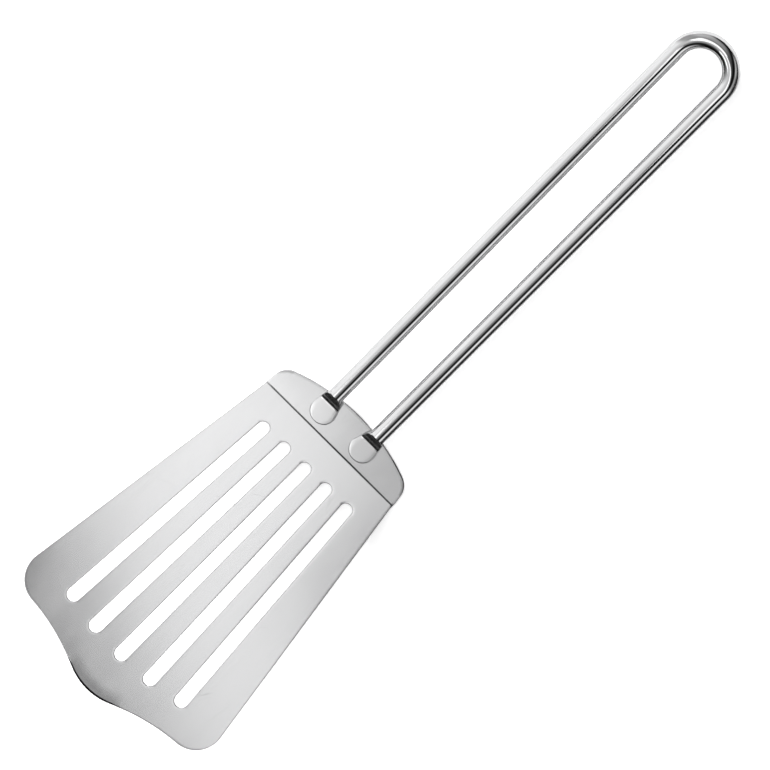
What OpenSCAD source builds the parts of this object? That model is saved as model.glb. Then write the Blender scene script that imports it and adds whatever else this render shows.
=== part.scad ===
// Fish spatula: one slotted stainless sheet, bent at its heel, with a round wire hairpin
// handle whose two coined ends are spot-welded to the tang.
// It lies at rest: the tang's underside is on z = 0, the handle runs level towards +X,
// and the blade rises towards -X. The origin is the middle of the footprint.

/* [Blade] */
// Length of the blade from the crease to the tip of the nose
blade_len = 123; // [110:1:135]
// Width of the sheet at the crease
root_w = 63; // [60:1:66]
// Angle by which each side edge flares towards the front
flare_a = 8.25; // [7.5:0.25:9]
// Thickness of the sheet
sheet_t = 1.2; // [1:0.1:1.5]
// Radius of the two front corners
corner_r = 10.7; // [8:0.1:12]
// Radius of the nose that stands forward in the middle
nose_r = 22; // [20:0.5:24]
// Slope at which the nose runs into the hollow beside it
nose_a = 25; // [23:1:27]
// Radius of the hollow between the nose and each corner
hollow_r = 78; // [70:1:84]

/* [Nose edge] */
// Width of the ground facet at the tip of the nose, seen from above
facet_w = 0.8; // [0.5:0.05:0.9]
// Angle between the facet and the blade
facet_a = 45; // [40:1:50]
// Radius of the facet's inner border
facet_r = 31; // [30.8:0.1:31.4]

/* [Slots] */
// Width of each slot at its front end
slot_front_w = 5.1; // [4.6:0.1:5.6]
// Width of each slot at its rear end
slot_rear_w = 4.7; // [4.2:0.1:5]
// Distance between neighbouring slot lines where they cross the crease
slot_pitch = 9.9; // [9:0.1:10.2]
// Angle between neighbouring slots
slot_fan_a = 2; // [1.8:0.1:2.2]
// Distance from the crease to the rear ends of the slots
slot_rear = 10.2; // [8:0.1:14]
// Distance from the crease to the front end of the middle slot
slot_reach = 107.6; // [90:0.1:110]
// Radius of the arc that the front ends of the slots follow
slot_arc_r = 121; // [110:1:130]

/* [Heel and tang] */
// Angle between the blade and the tang
bend_a = 20; // [16:1:24]
// Inner radius of the bend
bend_r = 1.2; // [0.8:0.1:2]
// Radius of the mark that the folding tool leaves along the crease
crease_r = 0.35; // [0.2:0.05:0.4]
// Length of the tang from the crease to the middle of its rear edge
tang_len = 15.1; // [14:0.1:17]
// Radius of the arched rear edge of the tang
tang_arch_r = 71; // [65:1:80]
// Radius of the two rear corners of the tang
tang_corner_r = 7.2; // [6:0.1:8]

/* [Handle] */
// Diameter of the wire
wire_d = 6; // [5.5:0.1:6.5]
// Distance between the centre lines of the two legs
leg_gap = 20.6; // [19:0.1:22]
// Distance from the crease to the far end of the loop
handle_len = 202.5; // [180:0.5:230]
// Diameter of each coined end
pad_d = 10; // [9:0.1:10.5]
// Thickness of each coined end
pad_t = 1; // [0.8:0.1:1.4]
// Distance between the centres of the coined ends
pad_gap = 19.4; // [18:0.1:20.6]
// Distance from the crease to the centres of the coined ends
pad_x = 7.1; // [6.6:0.1:7.6]
// Slope from a coined end up to the full wire
ramp_a = 45; // [40:1:55]

/* [Welds] */
// Diameter of each weld nugget
weld_d = 5; // [4:0.1:6]
// Depth of the nugget inside the coined end
weld_in_pad = 0.5; // [0.3:0.1:0.6]

/* [Hidden] */
$fn = 64;
// Equal steps in each arc of an outline
steps = 12;

steel_satin = [0.78, 0.79, 0.8];
steel_polished = [0.86, 0.87, 0.88];
steel_weld = [0.66, 0.66, 0.67];

// Straight stretch of each side edge on both sides of the crease, for the bend
heel_flat = 1;
// Height of the bend's axis above the underside of the sheet
bend_z = sheet_t + bend_r;
// Distance that the nose reaches in front of the crease once the sheet is bent
nose_reach = blade_len * cos(bend_a) + bend_z * sin(bend_a);
// Place of the crease that puts the origin in the middle of the whole length
crease_x = (nose_reach - handle_len) / 2;

root_y = root_w / 2;
wire_r = wire_d / 2;
wire_z = sheet_t + wire_r;
loop_r = leg_gap / 2;
loop_x = handle_len - loop_r - wire_r;
pad_r = pad_d / 2;
// The ramp starts this share of the coined end's radius behind its centre, and ends at the
// top of the wire
ramp_share = 0.79;
ramp_x = pad_x + ramp_share * pad_r;
ramp_end = ramp_x + (wire_d - pad_t) / tan(ramp_a);
// Depth by which the taper's corners lie inside the round of the coined end
tuck = 0.02;
margin = 5;

// Points on an arc about c, from angle a0 to angle a1
function arc(c, r, a0, a1) =
    [for (i = [0:steps]) let (a = a0 + (a1 - a0) * i / steps) c + r * [cos(a), sin(a)]];

// Mirror image of a list of points, in reverse order, to close an outline
function mirrored(p) = [for (i = [len(p) - 1:-1:0]) [p[i][0], -p[i][1]]];

// Half of the front outline, from the nose past the crease, on the +Y side. The corner's
// centre is where it touches both the side edge and the hollow's circle.
nose_c = [nose_r - blade_len, 0];
hollow_c = nose_c + (nose_r + hollow_r) * [-cos(nose_a), sin(nose_a)];
side_dir = [-cos(flare_a), sin(flare_a)];
side_in = [-sin(flare_a), -cos(flare_a)];
corner_line = [-heel_flat, root_y] + corner_r * side_in;
corner_off = hollow_c - corner_line;
corner_along = corner_off * side_dir;
corner_across = corner_off * side_in;
corner_c = corner_line + side_dir
    * (corner_along - sqrt(pow(hollow_r + corner_r, 2) - pow(corner_across, 2)));
corner_to_hollow = hollow_c - corner_c;
corner_a = atan2(corner_to_hollow[1], corner_to_hollow[0]);

front_half = concat(
    arc(nose_c, nose_r, 180, 180 - nose_a),
    arc(hollow_c, hollow_r, -nose_a, corner_a - 180),
    arc(corner_c, corner_r, corner_a, 90 - flare_a),
    [[-heel_flat, root_y], [heel_flat, root_y]]);

// Half of the tang's outline, from the bend to the middle of the rear edge. The corner
// touches the side edge and lies inside the arch.
arch_c = [tang_len - tang_arch_r, 0];
tang_line = [heel_flat, root_y] + tang_corner_r * side_in;
tang_off = arch_c - tang_line;
tang_along = tang_off * side_dir;
tang_across = tang_off * side_in;
tang_corner_c = tang_line + side_dir
    * (tang_along - sqrt(pow(tang_arch_r - tang_corner_r, 2) - pow(tang_across, 2)));
arch_a = atan2(tang_corner_c[1], tang_corner_c[0] - arch_c[0]);

tang_half = concat(
    [[-heel_flat, root_y], [heel_flat, root_y]],
    arc(tang_corner_c, tang_corner_r, 90 - flare_a, arch_a),
    arc(arch_c, tang_arch_r, arch_a, 0));

// Point of the raised blade's own side view, turned up about the bend's axis
function lifted(p) = [
    p[0] * cos(bend_a) + (p[1] - bend_z) * sin(bend_a),
    bend_z - p[0] * sin(bend_a) + (p[1] - bend_z) * cos(bend_a)];

// Side view of the whole sheet about the crease: its underside from the tang to the front,
// then its top side back, with the folding tool's mark along the inside of the bend
bend_end = -90 - bend_a;
front_x = -blade_len - margin;
mark_c = [-bend_r * sin(bend_a / 2), bend_z - bend_r * cos(bend_a / 2)];
mark_a = asin((sheet_t - mark_c[1]) / crease_r);
side_view = concat(
    [[tang_len + margin, 0]],
    arc([0, bend_z], bend_z, -90, bend_end),
    [lifted([front_x, 0]), lifted([front_x, sheet_t])],
    arc(mark_c, crease_r, bend_end - 90 - mark_a, mark_a),
    [[tang_len + margin, sheet_t]]);

// One tapered slot: its middle line crosses the crease i pitches from the middle, and its
// front end stops on the slots' arc
module slot_outline(i) {
    fan = i * tan(slot_fan_a);
    arc_x = slot_arc_r - slot_reach;
    front_y = i * slot_pitch + fan * slot_reach;
    front = [arc_x - sqrt(pow(slot_arc_r, 2) - pow(front_y, 2)) + slot_front_w / 2, 0];
    rear = [-slot_rear - slot_rear_w / 2, 0];
    turn = -atan(fan);
    grow = asin((slot_front_w - slot_rear_w) / 2 / (rear[0] - front[0]));
    polygon([for (p = concat(
        arc(front, slot_front_w / 2, 90 + grow, 270 - grow),
        arc(rear, slot_rear_w / 2, grow - 90, 90 + grow)))
        [p[0], i * slot_pitch - fan * p[0] + p[1] / cos(turn)]]);
}

// Raises something drawn in the flat blade's place, with its underside on z = 0
module raise_blade() {
    translate([0, 0, bend_z])
        rotate([0, bend_a, 0])
            translate([0, 0, -bend_z])
                children();
}

// Room within the plan outlines of the raised blade, with its slots, and of the tang
module plan_room() {
    raise_blade()
        translate([0, 0, -margin])
            linear_extrude(height = 3 * margin)
                difference() {
                    polygon(concat(front_half, mirrored(front_half)));
                    for (i = [-2:2])
                        slot_outline(i);
                }
    translate([0, 0, -margin])
        linear_extrude(height = 2 * margin)
            polygon(concat(tang_half, mirrored(tang_half)));
}

// What the grinding of the nose's upper edge takes off: all that lies in front of a cone,
// whose rim leaves the outline within facet_reach on both sides of the middle
module ground_off() {
    cone_x = facet_w - blade_len + facet_r;
    facet_reach = 12;
    over = 0.5;
    raise_blade()
        difference() {
            translate([-blade_len - over, -facet_reach, -over])
                cube([margin, 2 * facet_reach, sheet_t + 2 * over]);
            translate([cone_x, 0, -2 * over])
                cylinder(
                    r1 = facet_r + (sheet_t + 2 * over) / tan(facet_a),
                    r2 = facet_r - 2 * over / tan(facet_a),
                    h = sheet_t + 4 * over);
        }
}

// Places one weld on each side of the middle
module both_sides(y) {
    for (side = [-1, 1])
        translate([0, side * y, 0])
            children();
}

module weld_nugget(grow = 0) {
    translate([crease_x + pad_x, 0, -grow])
        cylinder(d = weld_d, h = sheet_t + weld_in_pad + grow);
}

module blade() {
    color(steel_satin)
        difference() {
            translate([crease_x, 0, 0])
                intersection() {
                    translate([0, root_w, 0])
                        rotate([90, 0, 0])
                            linear_extrude(height = 2 * root_w)
                                polygon(side_view);
                    plan_room();
                }
            translate([crease_x, 0, 0])
                ground_off();
            both_sides(pad_gap / 2)
                weld_nugget(margin);
        }
}

// Place where a line from point p touches the circle of radius r about c, on side s
function touch(c, r, p, s) =
    let (d = p - c, a = atan2(d[1], d[0]) + s * acos(r / norm(d)))
    c + r * [cos(a), sin(a)];

// Coined end, its taper and the straight leg, on the side of the middle that side gives
module leg(side) {
    leg_y = side * leg_gap / 2;
    pad_c = [pad_x, side * pad_gap / 2];
    neck = [for (s = [1, -1]) [ramp_end, leg_y + s * wire_r]];
    intersection() {
        union() {
            translate([0, 0, sheet_t])
                linear_extrude(height = wire_r) {
                    translate(pad_c)
                        circle(r = pad_r);
                    polygon([
                        touch(pad_c, pad_r - tuck, neck[0], 1),
                        neck[0],
                        neck[1],
                        touch(pad_c, pad_r - tuck, neck[1], -1)]);
                }
            translate([ramp_x, leg_y, wire_z])
                rotate([0, 90, 0])
                    cylinder(r = wire_r, h = loop_x - ramp_x);
        }
        translate([0, leg_y + wire_d, sheet_t])
            rotate([90, 0, 0])
                linear_extrude(height = 2 * wire_d)
                    polygon([
                        [0, 0],
                        [0, pad_t],
                        [ramp_x, pad_t],
                        [ramp_end, wire_d],
                        [ramp_end, wire_d + margin],
                        [loop_x, wire_d + margin],
                        [loop_x, 0]]);
    }
}

module wire_handle() {
    color(steel_polished)
        difference() {
            translate([crease_x, 0, 0]) {
                leg(-1);
                leg(1);
                translate([loop_x, 0, wire_z])
                    rotate([0, 0, -90])
                        rotate_extrude(angle = 180)
                            translate([loop_r, 0])
                                circle(r = wire_r);
            }
            both_sides(pad_gap / 2)
                weld_nugget(margin);
        }
}

// Metal that the spot welding melted together, from the tang's underside into each coined end
module spot_welds() {
    color(steel_weld)
        both_sides(pad_gap / 2)
            weld_nugget();
}

blade();
wire_handle();
spot_welds();
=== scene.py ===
from math import acos, asin, atan2, cos, hypot, pi, radians, sin, sqrt, tan

import bmesh
import bpy
from mathutils import Matrix, Vector


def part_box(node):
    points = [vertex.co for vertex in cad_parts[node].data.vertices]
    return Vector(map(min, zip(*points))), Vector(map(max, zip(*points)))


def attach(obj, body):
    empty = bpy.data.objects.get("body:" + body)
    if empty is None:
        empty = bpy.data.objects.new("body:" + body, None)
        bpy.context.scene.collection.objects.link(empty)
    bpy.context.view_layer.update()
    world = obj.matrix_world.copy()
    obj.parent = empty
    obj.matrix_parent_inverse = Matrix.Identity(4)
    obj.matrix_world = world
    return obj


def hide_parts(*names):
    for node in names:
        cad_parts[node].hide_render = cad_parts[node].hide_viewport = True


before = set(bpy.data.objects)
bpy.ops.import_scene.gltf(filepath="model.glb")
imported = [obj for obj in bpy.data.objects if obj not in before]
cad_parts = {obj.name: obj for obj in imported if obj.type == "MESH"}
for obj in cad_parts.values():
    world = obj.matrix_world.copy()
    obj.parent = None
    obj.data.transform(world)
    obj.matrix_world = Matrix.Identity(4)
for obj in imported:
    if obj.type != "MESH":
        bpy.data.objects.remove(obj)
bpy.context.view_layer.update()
scene = bpy.context.scene

# The blade: one stainless sheet, blanked with its five slots and tumbled so that no cut edge
# is sharp, then folded at the heel, with the folding tool's mark along the crease. The upper
# edge of its nose is ground to a facet. Its finish is a fine satin, ground along the blade.

# The sheet's thickness and its outline, measured on the flat blank from the crease
sheet_t = 0.0012
blade_len = 0.123
root_half = 0.0315
flare = radians(8.25)
corner_r = 0.0107
nose_r = 0.022
nose_turn = radians(25)
hollow_r = 0.078
# The facet on the nose, and the slight droop of the nose under it
facet_w = 0.001
facet_slope = tan(radians(39))
facet_reach = 0.0145
droop_reach = 0.0065
droop_half = 0.0125
droop_bend = 1050
nose_depth = 0.009
# The five slots
slot_front_r = 0.00255
slot_rear_r = 0.00235
slot_pitch = 0.0099
slot_fan = radians(2)
slot_rear = 0.0102
slot_reach = 0.1076
slot_arc_r = 0.121
# The fold at the heel, the tang behind it and the two welds in the tang
fold_turn = radians(20)
fold_r = 0.0012
tang_len = 0.0151
tang_arch_r = 0.071
tang_corner_r = 0.0072
heel_flat = 0.001
weld_x = 0.0071
weld_y = 0.0097
weld_r = 0.0025
# The tumbled cut edges, with the band beside them, and the groove along the crease
edge_round = 0.0003
edge_band = 0.0011
groove_half = 0.0003
groove_depth = 0.0003
groove_mid = -0.007
groove_fade = 0.042
# Steps in each kind of arc, rows and columns of faces on the nose, and how near is the same
nose_steps = 16
corner_steps = 20
tang_corner_steps = 16
arch_steps = 20
slot_steps = 18
weld_steps = 32
edge_steps = 4
fold_steps = 6
facet_cuts = 5
nose_rows = 11
nose_row = 0.0007
nose_columns = 7
nose_column = 0.002
sharp_turn = radians(25)
join_dist = 1e-6
cut_dist = 1e-7

crease_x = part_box("blade")[1].x - tang_len
fold_z = sheet_t + fold_r
fold_len = fold_z * fold_turn


def draw_arc(sheet, vert, centre, turn, steps):
    """Draws edges on from vert in an arc about centre and returns the arc's last vertex."""
    arc = bmesh.ops.spin(sheet, geom=[vert], cent=(*centre, 0), axis=(0, 0, 1), angle=turn,
                         steps=steps, use_duplicate=False)
    return next(part for part in arc["geom_last"] if isinstance(part, bmesh.types.BMVert))


def draw_line(sheet, vert, place):
    """Draws one straight edge on from vert to place and returns its far vertex."""
    end = bmesh.ops.extrude_vert_indiv(sheet, verts=[vert])["verts"][0]
    end.co = (*place, 0)
    return end


def on_circle(centre, radius, angle):
    """Point of a circle in the sheet's plane."""
    return Vector(centre) + radius * Vector((cos(angle), sin(angle)))


def touching_both(line_start, line_way, line_in, radius, other_centre, other_reach):
    """Centre of a corner that touches a side edge and another arc."""
    base = line_start + radius * line_in
    off = other_centre - base
    along = off.dot(line_way)
    across = off.dot(line_in)
    return base + line_way * (along - sqrt(other_reach ** 2 - across ** 2))


side_way = Vector((-cos(flare), sin(flare)))
side_in = Vector((-sin(flare), -cos(flare)))
nose_c = Vector((nose_r - blade_len, 0))
hollow_c = nose_c + (nose_r + hollow_r) * Vector((-cos(nose_turn), sin(nose_turn)))
corner_c = touching_both(Vector((-heel_flat, root_half)), side_way, side_in, corner_r,
                         hollow_c, hollow_r + corner_r)
corner_a = atan2(*(hollow_c - corner_c).yx)

sheet = bmesh.new()
tip = sheet.verts.new((-blade_len, 0, 0))
end = draw_arc(sheet, tip, nose_c, -nose_turn, nose_steps)
end = draw_arc(sheet, end, hollow_c, corner_a - pi + nose_turn, nose_steps)
end = draw_arc(sheet, end, corner_c, pi / 2 - flare - corner_a, corner_steps)
end = draw_line(sheet, end, (-heel_flat, root_half))
for vert in sheet.verts:
    vert.co.x -= fold_len

arch_c = Vector((tang_len - tang_arch_r, 0))
tang_c = touching_both(Vector((heel_flat, root_half)), side_way, side_in, tang_corner_r,
                       arch_c, tang_arch_r - tang_corner_r)
arch_a = atan2(*(tang_c - arch_c).yx)
end = draw_line(sheet, end, (heel_flat, root_half))
end = draw_line(sheet, end, on_circle(tang_c, tang_corner_r, pi / 2 - flare))
end = draw_arc(sheet, end, tang_c, arch_a - pi / 2 + flare, tang_corner_steps)
end = draw_arc(sheet, end, arch_c, -arch_a, arch_steps)
bmesh.ops.mirror(sheet, geom=sheet.verts[:] + sheet.edges[:], axis="Y", merge_dist=join_dist)
for number in range(-2, 3):
    fan = number * tan(slot_fan)
    front_y = number * slot_pitch + fan * slot_reach
    front_x = slot_arc_r - slot_reach - sqrt(slot_arc_r ** 2 - front_y ** 2) + slot_front_r
    rear_x = -slot_rear - slot_rear_r
    front = Vector((front_x - fold_len, number * slot_pitch - fan * front_x))
    rear = Vector((rear_x - fold_len, number * slot_pitch - fan * rear_x))
    way = atan2(*(front - rear).yx)
    grow = asin((slot_front_r - slot_rear_r) / (front - rear).length)
    first = sheet.verts.new((*on_circle(front, slot_front_r, way + pi / 2 + grow), 0))
    end = draw_arc(sheet, first, front, -pi - 2 * grow, slot_steps)
    end = draw_line(sheet, end, on_circle(rear, slot_rear_r, way - pi / 2 - grow))
    end = draw_arc(sheet, end, rear, 2 * grow - pi, slot_steps)
    sheet.edges.new((end, first))
for side in (-1, 1):
    bmesh.ops.create_circle(sheet, segments=weld_steps, radius=weld_r,
                            matrix=Matrix.Translation((weld_x, side * weld_y, 0)))
bmesh.ops.triangle_fill(sheet, edges=sheet.edges[:], use_beauty=True, use_dissolve=False)
upper = bmesh.ops.extrude_face_region(sheet, geom=sheet.faces[:], use_keep_orig=True)["geom"]
upper = [part for part in upper if isinstance(part, bmesh.types.BMVert)]
bmesh.ops.translate(sheet, verts=upper, vec=(0, 0, sheet_t))
bmesh.ops.recalc_face_normals(sheet, faces=sheet.faces[:])


def lies_flat(face):
    """True on the sheet's two broad sides, before it is bent."""
    return abs(face.normal.z) > 0.999


def at_weld(vert):
    """True on the walls of the two places that the weld metal fills."""
    return hypot(vert.co.x - weld_x, abs(vert.co.y) - weld_y) < 1.1 * weld_r


for up in (-1, 1):
    broad = [face for face in sheet.faces if lies_flat(face) and face.normal.z * up > 0]
    bmesh.ops.inset_region(sheet, faces=broad, thickness=edge_band, use_even_offset=True)
rim = [edge for edge in sheet.edges
       if sum(lies_flat(face) for face in edge.link_faces) == 1
       and not all(at_weld(vert) for vert in edge.verts)]
bmesh.ops.bevel(sheet, geom=rim, offset=edge_round, offset_type="OFFSET", segments=edge_steps,
                profile=0.5, affect="EDGES", clamp_overlap=True, material=-1)
sheet.normal_update()

# Where handling has rubbed the sheet: its rounded edges, but not the walls at the welds
worn = sheet.verts.layers.float.new("edge")
for vert in sheet.verts:
    if not all(lies_flat(face) for face in vert.link_faces) and not at_weld(vert):
        vert[worn] = 1

# Cuts across the sheet that let it bend smoothly and give the groove its own rows
inner_half = fold_r * fold_turn / 2
stretch = fold_z / fold_r
cuts = [-fold_len * step / fold_steps for step in range(fold_steps + 1)]
for share in (0, 0.25, 0.5, 0.75, 0.9, 1, 1.15):
    reach = share * groove_half
    out = min(reach, inner_half) * stretch + max(reach - inner_half, 0)
    cuts += [-fold_len / 2 - out, -fold_len / 2 + out]
for place in sorted(set(cuts)):
    bmesh.ops.bisect_plane(sheet, geom=sheet.verts[:] + sheet.edges[:] + sheet.faces[:],
                           dist=cut_dist, plane_co=(place, 0, 0), plane_no=(1, 0, 0))


def from_edge(x, y):
    """How far a point of the flat blank's nose lies inside its outline."""
    x += fold_len
    y = abs(y)
    if y < nose_r * sin(nose_turn):
        return nose_r - hypot(x - nose_c.x, y)
    return hypot(x - hollow_c.x, y - hollow_c.y) - hollow_r


def inward(x, y):
    """Way from the nose's outline into the sheet at a point of the flat blank."""
    spot = Vector((x + fold_len, y))
    if abs(y) < nose_r * sin(nose_turn):
        return (nose_c - spot).normalized()
    return (spot - Vector((hollow_c.x, hollow_c.y if y > 0 else -hollow_c.y))).normalized()


def facet_at(y):
    """Width of the ground facet at y from the middle, widest at the tip."""
    return facet_w * max(1 - (y / facet_reach) ** 2, 0) ** 0.7


def nose_faces():
    """Faces of the part of the sheet that stands forward of its two front corners."""
    limit = nose_depth - blade_len - fold_len + join_dist
    return [face for face in sheet.faces if all(vert.co.x < limit for vert in face.verts)]


def nose_edges():
    """Edges of those faces, each once."""
    return list(dict.fromkeys(edge for face in nose_faces() for edge in face.edges))


def cut_nose(faces, place, way):
    """Cuts the given faces of the nose along a plane."""
    parts = dict.fromkeys(part for face in faces for part in (*face.verts, *face.edges, face))
    bmesh.ops.bisect_plane(sheet, geom=list(parts), dist=cut_dist, plane_co=place, plane_no=way)


def crosses_facet(edge):
    """True on the short upper edges that lead from the rounded rim to the end of its band."""
    one, other = edge.verts
    return (min(one.co.z, other.co.z) > 0.9 * sheet_t
            and abs(from_edge(*one.co.xy) - from_edge(*other.co.xy))
            > 0.8 * (edge_band - edge_round)
            and edge.calc_length() < 1.2 * edge_band)


def slid(inside, facet):
    """New distance from the outline of a row of the band, whose middle row ends the facet."""
    middle = (edge_round + edge_band) / 2
    if inside < middle:
        share = (inside - edge_round) / (middle - edge_round)
        return edge_round + share * (facet - edge_round)
    share = (inside - middle) / (edge_band - middle)
    return facet + share * (edge_band - facet)


cut_nose(sheet.faces, (nose_depth - blade_len - fold_len, 0, 0), (1, 0, 0))
across_facet = [edge for edge in nose_edges() if crosses_facet(edge)]
rows = bmesh.ops.subdivide_edges(sheet, edges=across_facet, cuts=facet_cuts)["geom_inner"]
for vert in rows:
    if isinstance(vert, bmesh.types.BMVert) and facet_at(vert.co.y) > 1.4 * edge_round:
        inside = from_edge(*vert.co.xy)
        vert.co.xy += (slid(inside, facet_at(vert.co.y)) - inside) * inward(*vert.co.xy)
for step in range(1, nose_rows + 1):
    cut_nose(nose_faces(), (nose_row * step - blade_len - fold_len, 0, 0), (1, 0, 0))
for step in range(-nose_columns, nose_columns + 1):
    cut_nose(nose_faces(), (0, nose_column * step, 0), (0, 1, 0))
ground_edges = nose_edges()


def ground_nose(x, y, z):
    """Where a point of the sheet ends once the nose droops a little and is ground."""
    if x + fold_len > nose_depth - blade_len or abs(y) > facet_reach:
        return x, z
    inside = from_edge(x, y)
    z = min(z, sheet_t - facet_slope * max(facet_at(y) - inside, 0))
    fade = max(1 - (y / droop_half) ** 2, 0)
    droop = droop_bend * fade * max(droop_reach - inside, 0) ** 3
    return x + droop * tan(fold_turn), z - droop


def from_groove(x):
    """Distance along the folded upper face from the middle of the groove."""
    off = abs(x + fold_len / 2)
    return min(off, fold_len / 2) / stretch + max(off - fold_len / 2, 0)


def folded(place):
    """Where a point of the flat blank ends once the heel is folded and the nose is ground."""
    x, y, z = place
    if z > sheet_t - edge_round and from_groove(x) < groove_half:
        z -= (groove_depth * (1 - from_groove(x) / groove_half)
              * (1 - ((y - groove_mid) / groove_fade) ** 2))
    if x > 0:
        return Vector((crease_x + x, y, z))
    if x > -fold_len:
        turn = -x / fold_z
        return Vector((crease_x - (fold_z - z) * sin(turn), y, fold_z - (fold_z - z) * cos(turn)))
    x, z = ground_nose(x, y, z)
    x += fold_len
    return Vector((crease_x + x * cos(fold_turn) + (z - fold_z) * sin(fold_turn), y,
                   fold_z - x * sin(fold_turn) + (z - fold_z) * cos(fold_turn)))


# Painted shade: the colour of the groove along the crease is darkened, most a little to the -Y
# side of the middle and less towards +Y
crease_shade_layer = sheet.verts.layers.float.new("crease")
for vert in sheet.verts:
    if vert.co.z > sheet_t - edge_round and from_groove(vert.co.x) < 0.95 * groove_half:
        vert[crease_shade_layer] = 1 - ((vert.co.y - groove_mid) / groove_fade) ** 2
for vert in sheet.verts:
    vert.co = folded(vert.co)
bmesh.ops.dissolve_degenerate(sheet, edges=sheet.edges[:], dist=join_dist)
bmesh.ops.recalc_face_normals(sheet, faces=sheet.faces[:])
for edge in ground_edges:
    if edge.is_valid and edge.calc_face_angle(0) > sharp_turn:
        edge.smooth = False


def put_in_order(parts, key):
    """Sorts vertices, edges or faces, so that the mesh comes out the same on every run."""
    ranks = {part: rank for rank, part in enumerate(sorted(parts, key=key))}
    parts.sort(key=ranks.get)


def finished(name, shape, material):
    """Makes a smooth-shaded object of a shape, whose broad faces keep their own normals."""
    mesh = bpy.data.meshes.new(name)
    for face in shape.faces:
        face.smooth = True
    put_in_order(shape.verts, lambda vert: tuple(vert.co))
    shape.verts.index_update()
    put_in_order(shape.edges, lambda edge: sorted(vert.index for vert in edge.verts))
    put_in_order(shape.faces, lambda face: sorted(vert.index for vert in face.verts))
    shape.to_mesh(mesh)
    shape.free()
    mesh.materials.append(material)
    piece = bpy.data.objects.new(name, mesh)
    scene.collection.objects.link(piece)
    even = piece.modifiers.new("even_shading", "WEIGHTED_NORMAL")
    even.mode = "FACE_AREA"
    even.weight = 100
    even.keep_sharp = True
    return piece


def node_group(name, inputs, outputs):
    """Starts a shader node group with named sockets."""
    group = bpy.data.node_groups.new(name, "ShaderNodeTree")
    for title, kind, value in inputs:
        socket = group.interface.new_socket(title, in_out="INPUT", socket_type=kind)
        if value is not None:
            socket.default_value = value
    for title in outputs:
        group.interface.new_socket(title, in_out="OUTPUT", socket_type="NodeSocketFloat")
    return group, group.nodes.new("NodeGroupInput"), group.nodes.new("NodeGroupOutput")


def math_node(tree, operation, first, second=0.0, clamp=False):
    """Adds a Math node; each input is a socket or a number."""
    node = tree.nodes.new("ShaderNodeMath")
    node.operation = operation
    node.use_clamp = clamp
    for socket, value in zip(node.inputs, (first, second)):
        if isinstance(value, bpy.types.NodeSocket):
            tree.links.new(value, socket)
        else:
            socket.default_value = value
    return node.outputs[0]


def noise_node(tree, place, scale, detail, stretch_by):
    """Adds a noise whose cells are stretched by the given scales along X, Y and Z."""
    mapping = tree.nodes.new("ShaderNodeMapping")
    mapping.inputs["Scale"].default_value = stretch_by
    tree.links.new(place, mapping.inputs["Vector"])
    noise = tree.nodes.new("ShaderNodeTexNoise")
    noise.inputs["Scale"].default_value = scale
    noise.inputs["Detail"].default_value = detail
    tree.links.new(mapping.outputs[0], noise.inputs["Vector"])
    return noise.outputs["Fac"]


def range_node(tree, value, low, high, out_low=0.0, out_high=1.0):
    """Adds a Map Range node from low..high to out_low..out_high."""
    node = tree.nodes.new("ShaderNodeMapRange")
    for title, number in (("From Min", low), ("From Max", high),
                          ("To Min", out_low), ("To Max", out_high)):
        node.inputs[title].default_value = number
    tree.links.new(value, node.inputs["Value"])
    return node.outputs[0]


grain, grain_in, grain_out = node_group(
    "ground_grain", [("Place", "NodeSocketVector", None)], ["Lines", "Patches"])
lines = noise_node(grain, grain_in.outputs["Place"], 900, 3, (0.012, 1, 0.012))
wide_lines = noise_node(grain, grain_in.outputs["Place"], 260, 2, (0.02, 1, 0.02))
patches = noise_node(grain, grain_in.outputs["Place"], 55, 4, (0.6, 1, 0.6))
both_lines = math_node(grain, "ADD", math_node(grain, "MULTIPLY", lines, 0.65),
                       math_node(grain, "MULTIPLY", wide_lines, 0.35))
grain.links.new(both_lines, grain_out.inputs["Lines"])
grain.links.new(patches, grain_out.inputs["Patches"])

scuffs, scuffs_in, scuffs_out = node_group(
    "handling_scuffs", [("Place", "NodeSocketVector", None)], ["Scratches"])
scratch_sum = None
for turn, across in ((0.5, 190), (1.9, 150), (2.7, 230)):
    turned = scuffs.nodes.new("ShaderNodeMapping")
    turned.inputs["Rotation"].default_value = (0, 0, turn)
    turned.inputs["Scale"].default_value = (0.08, 1, 0.3)
    scuffs.links.new(scuffs_in.outputs["Place"], turned.inputs["Vector"])
    cells = scuffs.nodes.new("ShaderNodeTexVoronoi")
    cells.feature = "DISTANCE_TO_EDGE"
    cells.inputs["Scale"].default_value = across
    scuffs.links.new(turned.outputs[0], cells.inputs["Vector"])
    thin = range_node(scuffs, cells.outputs["Distance"], 0.0, 0.007, 1.0, 0.0)
    where = noise_node(scuffs, scuffs_in.outputs["Place"], across * 0.5, 1, (1, 1, 1))
    some = range_node(scuffs, where, 0.6, 0.7)
    scratch = math_node(scuffs, "MULTIPLY", thin, some)
    if scratch_sum is not None:
        scratch = math_node(scuffs, "MAXIMUM", scratch_sum, scratch)
    scratch_sum = scratch
scuffs.links.new(scratch_sum, scuffs_out.inputs["Scratches"])


# How much the ground lines, the scratches, the wear of rubbed edges and the pressing of the
# flats change the roughness, and how far painted shade darkens the groove along the crease
line_rough = 0.1
scratch_rough = 0.05
scratch_depth = 0.2
wear_fade = 4.0
wear_polish = 0.02
pressed_rough = 0.12
crease_shade_cover = 0.85
crease_shade_grey = (0.1, 0.1, 0.1, 1)


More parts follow.
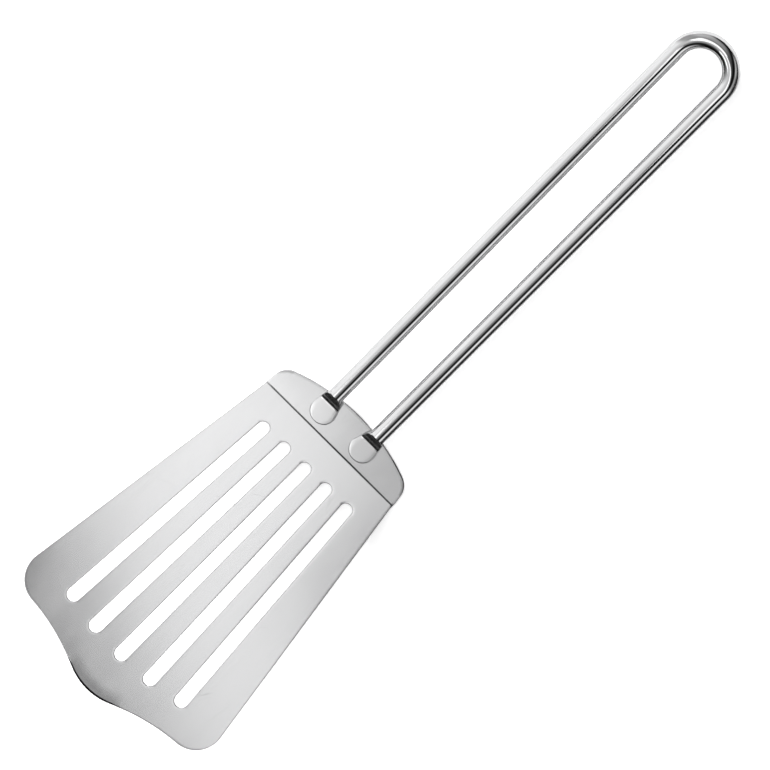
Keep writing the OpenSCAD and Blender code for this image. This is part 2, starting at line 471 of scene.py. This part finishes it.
def metal(name, dark, light, smooth, rough, grain_height, place=None, rim=None, pressed=None,
          crease_shade=None):
    """Bare steel: colour between dark and light, roughness between smooth and rough.

    place, rim and pressed name the mesh's own places, its rubbed edges and its pressed flats;
    the last argument names the groove along the crease, whose colour is darkened there as painted
    shade."""
    material = bpy.data.materials.new(name)
    material.use_nodes = True
    tree = material.node_tree
    shader = tree.nodes["Principled BSDF"]
    shader.inputs["Metallic"].default_value = 1
    if place is None:
        where = tree.nodes.new("ShaderNodeTexCoord").outputs["Object"]
    else:
        attribute = tree.nodes.new("ShaderNodeAttribute")
        attribute.attribute_name = place
        where = attribute.outputs["Vector"]
    ground = tree.nodes.new("ShaderNodeGroup")
    ground.node_tree = grain
    marks = tree.nodes.new("ShaderNodeGroup")
    marks.node_tree = scuffs
    for group in (ground, marks):
        tree.links.new(where, group.inputs["Place"])
    tone = tree.nodes.new("ShaderNodeMix")
    tone.data_type = "RGBA"
    tone.inputs["A"].default_value = (*dark, 1)
    tone.inputs["B"].default_value = (*light, 1)
    blend = range_node(tree, ground.outputs["Patches"], 0.35, 0.65)
    rough_now = range_node(tree, ground.outputs["Patches"], 0.3, 0.7, smooth, rough)
    rough_now = math_node(tree, "ADD", rough_now,
                          math_node(tree, "MULTIPLY", ground.outputs["Lines"],
                                    line_rough * rough))
    rough_now = math_node(tree, "ADD", rough_now,
                          math_node(tree, "MULTIPLY", marks.outputs["Scratches"],
                                    scratch_rough))
    if rim:
        worn_edge = tree.nodes.new("ShaderNodeAttribute")
        worn_edge.attribute_name = rim
        rubbed = math_node(tree, "MULTIPLY",
                           math_node(tree, "POWER", worn_edge.outputs["Fac"], wear_fade),
                           range_node(tree, ground.outputs["Patches"], 0.3, 0.6, 0.5, 1.0))
        blend = math_node(tree, "MAXIMUM", blend, rubbed)
        rough_now = math_node(tree, "SUBTRACT", rough_now,
                              math_node(tree, "MULTIPLY", rubbed, wear_polish), clamp=True)
    if pressed:
        flat_face = tree.nodes.new("ShaderNodeAttribute")
        flat_face.attribute_name = pressed
        rough_now = math_node(tree, "ADD", rough_now,
                              math_node(tree, "MULTIPLY", flat_face.outputs["Fac"],
                                        pressed_rough))
        blend = math_node(tree, "MULTIPLY", blend,
                          math_node(tree, "SUBTRACT", 1.0, flat_face.outputs["Fac"]))
    tree.links.new(blend, tone.inputs["Factor"])
    colour = tone.outputs["Result"]
    # Painted shade: the groove's colour is mixed towards a dark grey to stand for the shade in
    # the crease
    if crease_shade:
        crease_shade_node = tree.nodes.new("ShaderNodeAttribute")
        crease_shade_node.attribute_name = crease_shade
        crease_shaded = tree.nodes.new("ShaderNodeMix")
        crease_shaded.data_type = "RGBA"
        crease_shaded.inputs["B"].default_value = crease_shade_grey
        tree.links.new(math_node(tree, "MULTIPLY", crease_shade_node.outputs["Fac"], crease_shade_cover),
                       crease_shaded.inputs["Factor"])
        tree.links.new(colour, crease_shaded.inputs["A"])
        colour = crease_shaded.outputs["Result"]
    tree.links.new(colour, shader.inputs["Base Color"])
    tree.links.new(rough_now, shader.inputs["Roughness"])
    height = math_node(tree, "SUBTRACT", ground.outputs["Lines"],
                       math_node(tree, "MULTIPLY", marks.outputs["Scratches"],
                                 scratch_depth))
    bump = tree.nodes.new("ShaderNodeBump")
    bump.inputs["Strength"].default_value = 1
    bump.inputs["Distance"].default_value = grain_height
    tree.links.new(height, bump.inputs["Height"])
    tree.links.new(bump.outputs["Normal"], shader.inputs["Normal"])
    return material


satin_steel = metal("satin_steel", (0.60, 0.60, 0.605), (0.68, 0.68, 0.685), 0.17, 0.22, 0.000002,
                    rim="edge", crease_shade="crease")
blade = finished("slotted_blade", sheet, satin_steel)
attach(blade, "root")
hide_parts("blade")

# The handle: one round stainless wire, bent into a hairpin whose closed end is the hanging
# loop. Both ends are coined flat into round pads that lie on the tang. The wire is polished,
# apart from the faint lines of drawing along it.
wire_r = 0.003
leg_y = 0.0103
loop_x = 0.1892
pad_r = 0.005
pad_t = 0.001
pad_x = weld_x
pad_y = weld_y
ramp_share = 0.79
ramp_x = pad_x + ramp_share * pad_r
ramp_end = ramp_x + 2 * wire_r - pad_t
ramp_hollow = 0.62
ramp_ease = 0.1
shoulder = 0.0002
side_steps = 22
shoulder_steps = 4
flat_steps = 6
taper_steps = 40
taper_crowd = 1.4
pad_steps = 26
loop_steps = 24
neck_blend = 0.002
sliver_dist = 1e-8

neck = Vector((ramp_end, wire_r))
neck_run = neck - Vector((pad_x, 0))
leave_a = atan2(*neck_run.yx) + acos(pad_r / neck_run.length)
leave = on_circle((pad_x, 0), pad_r, leave_a)


def taper_place(share):
    """Place and outward way on the taper's outline, from the full wire to the round pad."""
    way = Vector((cos(leave_a), sin(leave_a)))
    still_wire = max(1 - share * (leave - neck).length / neck_blend, 0)
    return neck.lerp(leave, share), way.lerp(Vector((0, 1)), still_wire ** 2).normalized()


def pad_place(share):
    """Place and outward way on the pad's outline, from the taper to the foremost point."""
    angle = leave_a + share * (pi - leave_a)
    return on_circle((pad_x, 0), pad_r, angle), Vector((cos(angle), sin(angle)))


def coined_height(x):
    """Height of the wire above the tang at x from the crease."""
    rise = (x - ramp_x) / (ramp_end - ramp_x)
    if rise < ramp_ease:
        rise = max(rise + ramp_ease, 0) ** 2 / (4 * ramp_ease)
    rise = min(rise, 1)
    rise = (1 - ramp_hollow) * rise + ramp_hollow * rise ** 2
    return pad_t + (2 * wire_r - pad_t) * rise


def wire_ring(place, way, centre_y):
    """Points round the wire where its outline has that place: two sides and two flats.

    The sides keep the wire's round form as far as the pressed flat, which cuts across them."""
    cut = coined_height(place.x)
    pressed = min(max((ramp_end - place.x) / (ramp_end - ramp_x), 0), 1)
    side_r = (cut + (2 * wire_r - cut) * (1 - pressed ** 2)) / 2
    top_turn = asin(max(min(cut / side_r - 1, 1), -1))
    top_inset = side_r * (1 - cos(top_turn))
    ease = min(shoulder, max(place.y - way.y * top_inset, 0) / 2, side_r * (pi / 2 - top_turn))
    last_turn = top_turn - ease / side_r
    side = []
    for step in range(side_steps + 1):
        turn = (last_turn + pi / 2) * step / side_steps - pi / 2
        side.append((side_r * (1 - cos(turn)), side_r * (1 + sin(turn))))
    bend = (side[-1], (top_inset, cut), (top_inset + ease, cut))
    for step in range(1, shoulder_steps + 1):
        t = step / shoulder_steps
        side.append(tuple((1 - t) ** 2 * bend[0][i] + 2 * t * (1 - t) * bend[1][i]
                          + t * t * bend[2][i] for i in (0, 1)))
    right, left = [], []
    for inset, height in side:
        x = place.x - way.x * inset
        y = max(place.y - way.y * inset, 0)
        z = sheet_t + height * coined_height(x) / cut
        right.append(Vector((crease_x + x, centre_y + y, z)))
        left.insert(0, Vector((crease_x + x, centre_y - y, z)))
    over = [right[-1].lerp(left[0], step / flat_steps) for step in range(1, flat_steps)]
    under = [left[-1].lerp(right[0], step / flat_steps) for step in range(1, flat_steps)]
    return right + over + left + under


wire = bmesh.new()
outline = [taper_place((step / taper_steps) ** taper_crowd) for step in range(taper_steps + 1)]
outline += [pad_place(step / pad_steps) for step in range(1, pad_steps + 1)]
rings = []
for place, way in outline:
    slide = min(max((ramp_end - place.x) / (ramp_end - pad_x), 0), 1)
    rings.append(wire_ring(place, way, leg_y + (pad_y - leg_y) * slide))
round_the_wire = len(rings[0])
wire_start = bmesh.ops.create_circle(wire, segments=round_the_wire, radius=wire_r)["verts"]
ring_edges = wire.edges[:]
for vert, spot in zip(wire_start, rings[0]):
    vert.co = spot
edges = ring_edges
row = wire_start
for ring in rings[1:]:
    grown = bmesh.ops.extrude_edge_only(wire, edges=edges)["geom"]
    edges = [part for part in grown if isinstance(part, bmesh.types.BMEdge)]
    fresh = {part for part in grown if isinstance(part, bmesh.types.BMVert)}
    row = [next(edge.other_vert(vert) for edge in vert.link_edges
                if edge.other_vert(vert) in fresh) for vert in row]
    edges = [edge for edge in edges if all(vert in fresh for vert in edge.verts)]
    for vert, spot in zip(row, ring):
        vert.co = spot
grown = bmesh.ops.extrude_edge_only(wire, edges=ring_edges)["geom"]
fresh = [part for part in grown if isinstance(part, bmesh.types.BMVert)]
bmesh.ops.translate(wire, verts=fresh, vec=(loop_x - ramp_end, 0, 0))
loop_start = [part for part in grown if isinstance(part, bmesh.types.BMEdge)
              and all(vert in fresh for vert in part.verts)]
loop_c = Vector((crease_x + loop_x, 0, sheet_t + wire_r))
bmesh.ops.spin(wire, geom=loop_start, cent=loop_c, axis=(0, 0, 1), angle=-pi / 2,
               steps=loop_steps, use_duplicate=False)
bmesh.ops.remove_doubles(wire, verts=wire.verts[:], dist=cut_dist)
bmesh.ops.mirror(wire, geom=wire.verts[:] + wire.edges[:] + wire.faces[:], axis="Y",
                 merge_dist=join_dist)
bmesh.ops.remove_doubles(wire, verts=wire.verts[:], dist=cut_dist)
bmesh.ops.dissolve_degenerate(wire, edges=wire.edges[:], dist=sliver_dist)
bmesh.ops.recalc_face_normals(wire, faces=wire.faces[:])

# Places along the wire as if it were straight, so that its drawn lines follow the bend
straightened = wire.verts.layers.float_vector.new("straightened")
for vert in wire.verts:
    x, y, z = vert.co - loop_c
    if x > 0:
        vert[straightened] = (leg_y * atan2(y, x), hypot(x, y) - leg_y, z)
    else:
        side = 1 if y > 0 else -1
        vert[straightened] = (side * (leg_y * pi / 2 - x), abs(y) - leg_y, z)

coined = wire.verts.layers.float.new("coined")
for vert in wire.verts:
    if vert.co.x < crease_x + ramp_x:
        vert[coined] = 1

polished_wire = metal("polished_wire", (0.66, 0.66, 0.665), (0.73, 0.73, 0.735), 0.06, 0.1,
                      0.0000004, place="straightened", pressed="coined")
handle = finished("wire_hairpin", wire, polished_wire)
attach(handle, "root")
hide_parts("wire_handle")

# The two spot welds: each a nugget that joins the tang to a coined end. Its foot shows on the
# tang's underside as a round dimple from the electrode, a little duller than the sheet.
dimple_depth = 0.00012
profile = ((0, dimple_depth), (0.5, 0.92 * dimple_depth), (0.78, 0.6 * dimple_depth),
           (0.92, 0.12 * dimple_depth), (1, 0))
welds = bmesh.new()
for side in (-1, 1):
    centre = Vector((crease_x + weld_x, side * weld_y, 0))
    line = [welds.verts.new(centre + Vector((share * weld_r, 0, height)))
            for share, height in profile]
    line.append(welds.verts.new(centre + Vector((weld_r, 0, sheet_t))))
    line.append(welds.verts.new(centre + Vector((0, 0, sheet_t))))
    edges = [welds.edges.new(pair) for pair in zip(line, line[1:])]
    bmesh.ops.spin(welds, geom=edges, cent=centre, axis=(0, 0, 1), angle=2 * pi,
                   steps=weld_steps, use_merge=True, use_duplicate=False)
bmesh.ops.remove_doubles(welds, verts=welds.verts[:], dist=cut_dist)
bmesh.ops.recalc_face_normals(welds, faces=welds.faces[:])
weld_metal = metal("weld_metal", (0.5, 0.5, 0.5), (0.62, 0.61, 0.6), 0.42, 0.55, 0.000006)
nuggets = finished("spot_weld_nuggets", welds, weld_metal)
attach(nuggets, "root")
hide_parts("spot_welds")

# The floor of the studio: a plain pale sweep that the spatula lies on, and that shows white in
# the picture without lighting the steel any more than paper does. It reaches to the horizon.
floor_size = 60
floor_gap = 0.0002
paper_glow = 0.7


def matt(name, grey, rough):
    """Paper or card of one grey, with its shader."""
    material = bpy.data.materials.new(name)
    material.use_nodes = True
    shader = material.node_tree.nodes["Principled BSDF"]
    shader.inputs["Base Color"].default_value = (grey, grey, grey, 1)
    shader.inputs["Roughness"].default_value = rough
    return material, shader


bpy.ops.mesh.primitive_plane_add(size=floor_size, location=(0, 0, -floor_gap))
floor = bpy.context.object
floor.name = "floor"
paper, paper_shader = matt("floor_paper", 0.9, 0.8)
paper_shader.inputs["Emission Color"].default_value = (1, 1, 1, 1)
seen = paper.node_tree.nodes.new("ShaderNodeLightPath").outputs["Is Camera Ray"]
paper.node_tree.links.new(math_node(paper.node_tree, "MULTIPLY", seen, paper_glow),
                          paper_shader.inputs["Emission Strength"])
floor.data.materials.append(paper)

# The light of the studio: a large softbox at +Y, whose light reaches round over the top, a low
# bright wall at -Y, and dark cloth past both ends. Small softboxes hang overhead where the
# blade, its heel and the tang mirror them, and one at the side lights the floor. Two black
# cards lie beside the handle and before the nose, where only the steel mirrors them.

# Grey of the surroundings by their lean from the zenith towards +Y, in degrees, and by the X
# part of their direction, from -1 past the nose to 1 past the loop
bands = ((-180, 0.6), (-90, 0.01), (-84, 0.01), (-78, 0.5), (-67, 0.95), (-57, 0.9), (-50, 0.15),
         (-43, 0.01), (-27, 0.01), (-12, 0.25), (-3, 0.5), (8, 0.58), (23, 0.68), (35, 0.85),
         (47, 1.0), (180, 1.0))
lengthways = ((-1, 0), (-0.85, 0.02), (-0.6, 0.5), (-0.42, 1), (-0.12, 1), (0.06, 0.4),
              (0.33, 0.35), (0.5, 0.55), (0.8, 0.5), (0.93, 0.05), (1, 0))
sky_level = 1.22
world = bpy.data.worlds.new("studio")
world.use_nodes = True
sky = world.node_tree
view_way = sky.nodes.new("ShaderNodeSeparateXYZ")
sky.links.new(sky.nodes.new("ShaderNodeTexCoord").outputs["Generated"], view_way.inputs[0])
lean = math_node(sky, "ARCTAN2", view_way.outputs["Y"], view_way.outputs["Z"])


def light_bands(place, stops, span):
    """Adds a ramp over -span..span whose grey level follows the stops."""
    ramp = sky.nodes.new("ShaderNodeValToRGB")
    sky.links.new(range_node(sky, place, -span, span), ramp.inputs["Fac"])
    while len(ramp.color_ramp.elements) < len(stops):
        ramp.color_ramp.elements.new(1)
    for stop, (where, level) in zip(ramp.color_ramp.elements, stops):
        stop.position = where / stops[-1][0] / 2 + 0.5
        stop.color = (level, level, level, 1)
    return ramp.outputs["Color"]


sky.links.new(math_node(sky, "MULTIPLY", light_bands(lean, bands, pi),
                        light_bands(view_way.outputs["X"], lengthways, 1)),
              sky.nodes["Background"].inputs["Color"])
sky.nodes["Background"].inputs["Strength"].default_value = sky_level
scene.world = world
for name, spot, beam, turn, wide, long, level in (
        ("softbox_blade", (0.088, 0, 0.8), (0, 0, -1), radians(-23), 0.136, 0.7, 0.98),
        ("softbox_heel", (0.270, 0.162, 0.8), (0, 0, -1), radians(-20), 0.12, 0.476, 0.98),
        ("softbox_tang", (-0.530, 0.176, 0.8), (0, 0, -1), 0, 0.35, 0.35, 1.14),
        ("softbox_floor", (0.6, 1.25, 0.38), (-0.6, -1.25, -0.38), 0, 0.8, 0.5, 38)):
    box_light = bpy.data.lights.new(name, "AREA")
    box_light.shape = "RECTANGLE"
    box_light.size = wide
    box_light.size_y = long
    box_light.energy = 4 * wide * long * level
    box = bpy.data.objects.new(name, box_light)
    box.matrix_world = (Matrix.Translation(spot)
                        @ Vector(beam).to_track_quat("-Z", "Y").to_matrix().to_4x4()
                        @ Matrix.Rotation(turn, 4, "Z"))
    box.visible_camera = False
    box.visible_glossy = name != "softbox_floor"
    scene.collection.objects.link(box)
black = matt("black_card", 0.01, 0.9)[0]
for name, spot, wide, long in (("card_handle", (0.08, -0.22, 0), 0.4, 0.4),
                               ("card_nose", (-0.95, 0, 0), 1.4, 2)):
    bpy.ops.mesh.primitive_plane_add(size=1, location=spot)
    card = bpy.context.object
    card.name = name
    card.scale = (wide, long, 1)
    card.data.materials.append(black)
    card.visible_camera = False
    card.visible_diffuse = False
    card.visible_shadow = False
scene.view_settings.view_transform = "Standard"

# The camera: within a degree of square to the blade, with a long lens, and rolled so that the
# spatula lies along the picture's diagonal. It aims so that the middle of the crease falls on
# its place in the picture, which is 770 px wide.
pitch, yaw, roll = radians(20.97), radians(0.105), radians(45.225)
distance = 1.02
metre_per_px = 0.0003552
picture_px = 770
middle_px = 384.5
crease_px = (329.95, 442.38)
back = Vector((sin(pitch), sin(yaw) * cos(pitch), cos(pitch) * cos(yaw))).normalized()
lengthwise = (Vector((1, 0, 0)) - back.x * back).normalized()
crosswise = back.cross(lengthwise)
right = cos(roll) * lengthwise - sin(roll) * crosswise
up = sin(roll) * lengthwise + cos(roll) * crosswise
crease_mid = Vector((crease_x, 0, sheet_t / 2))
place = (crease_mid - (crease_px[0] - middle_px) * metre_per_px * right
         + (crease_px[1] - middle_px) * metre_per_px * up + distance * back)
lens = bpy.data.cameras.new("camera")
lens.sensor_width = 36
lens.lens = lens.sensor_width * distance / (picture_px * metre_per_px)
lens.clip_end = 100
camera = bpy.data.objects.new("camera", lens)
camera.matrix_world = Matrix.Translation(place) @ Matrix((right, up, back)).transposed().to_4x4()
scene.collection.objects.link(camera)
scene.camera = camera
